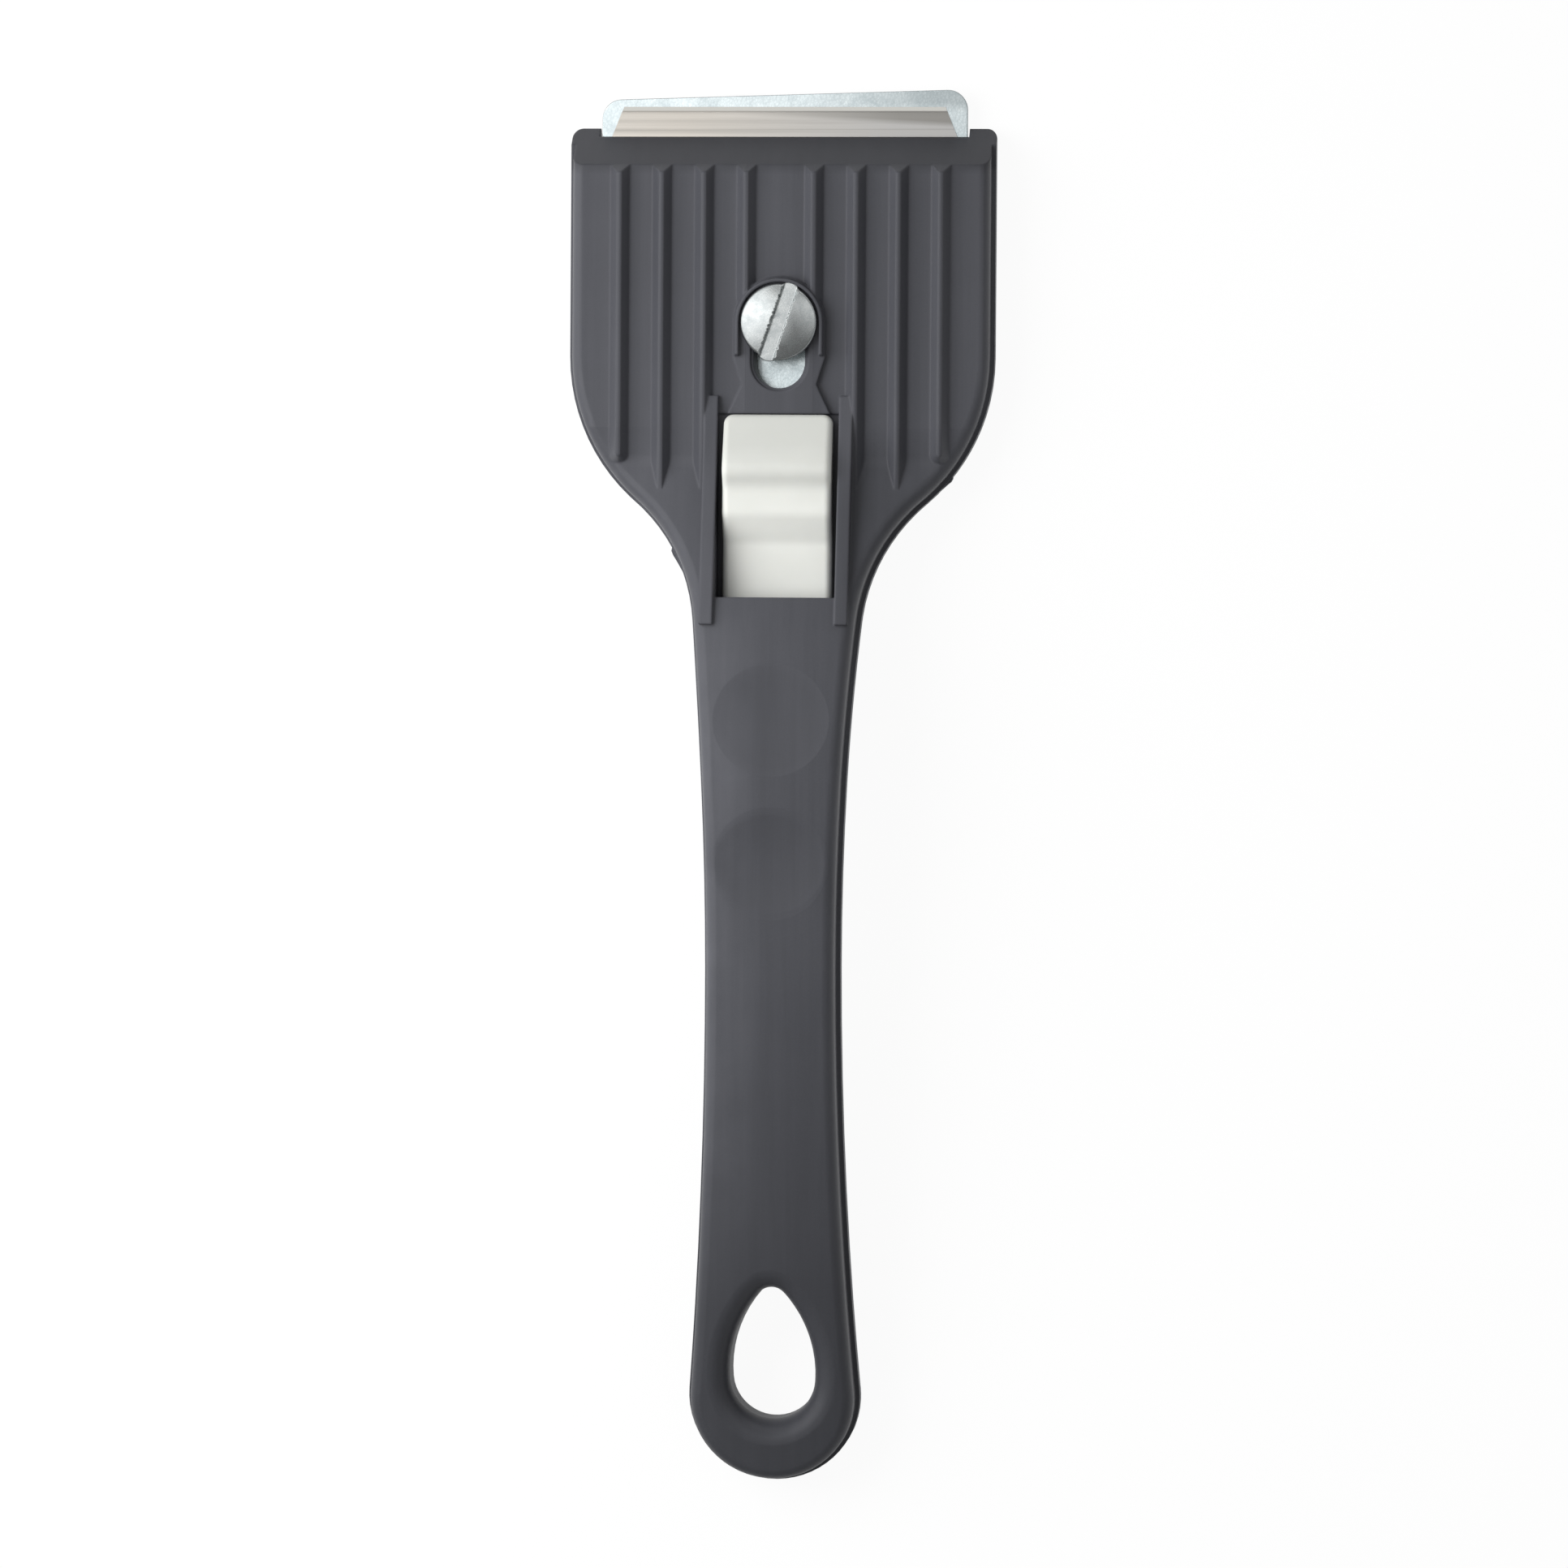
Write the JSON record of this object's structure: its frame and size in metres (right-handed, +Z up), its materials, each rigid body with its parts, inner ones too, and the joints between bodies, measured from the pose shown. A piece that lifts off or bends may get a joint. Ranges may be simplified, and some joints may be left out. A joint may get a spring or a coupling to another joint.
{
  "type": "ceramic hob scraper",
  "caption": "Hand scraper for ceramic hobs: ribbed head on an arched handle with a hanging hole, fixed steel blade and a sliding sheet guard worked by a thumb slider.",
  "frame": {"origin": "middle of the overall box on the surface that the scraper lies on, ribbed side up", "axes": "+X to the right and +Y forward to the blade, seen from the ribbed side; +Z up out of the ribbed side"},
  "size_m": [0.0524, 0.1714, 0.0157],
  "materials": {
    "grey_plastic": "fine satin moulded",
    "blade_steel": "ground lengthwise",
    "zinc_sheet": "zinc plated, slightly mottled",
    "zinc_fitting": "zinc plated",
    "zinc_screw": "bright zinc plated",
    "white_plastic": "satin moulded"
  },
  "bodies": {
    "handle": {"handle_body": "grey_plastic", "scraper_blade": "blade_steel"},
    "guard": {"guard_plate": "zinc_sheet", "guide_bush": "zinc_fitting", "thumb_slider": "white_plastic"},
    "screw": {"guide_screw": "zinc_screw"}
  },
  "joints": [
    {"name": "guard_slide", "type": "slide", "parent": "handle", "child": "guard", "axis": [0, -1, 0], "range_m": [0, 0.0049]},
    {"name": "screw_turn", "type": "hinge", "parent": "guard", "child": "screw", "pos_m": [0, 0.0569, 0.0077], "axis": [0, 0, 1], "range_deg": [0, 360]}
  ]
}
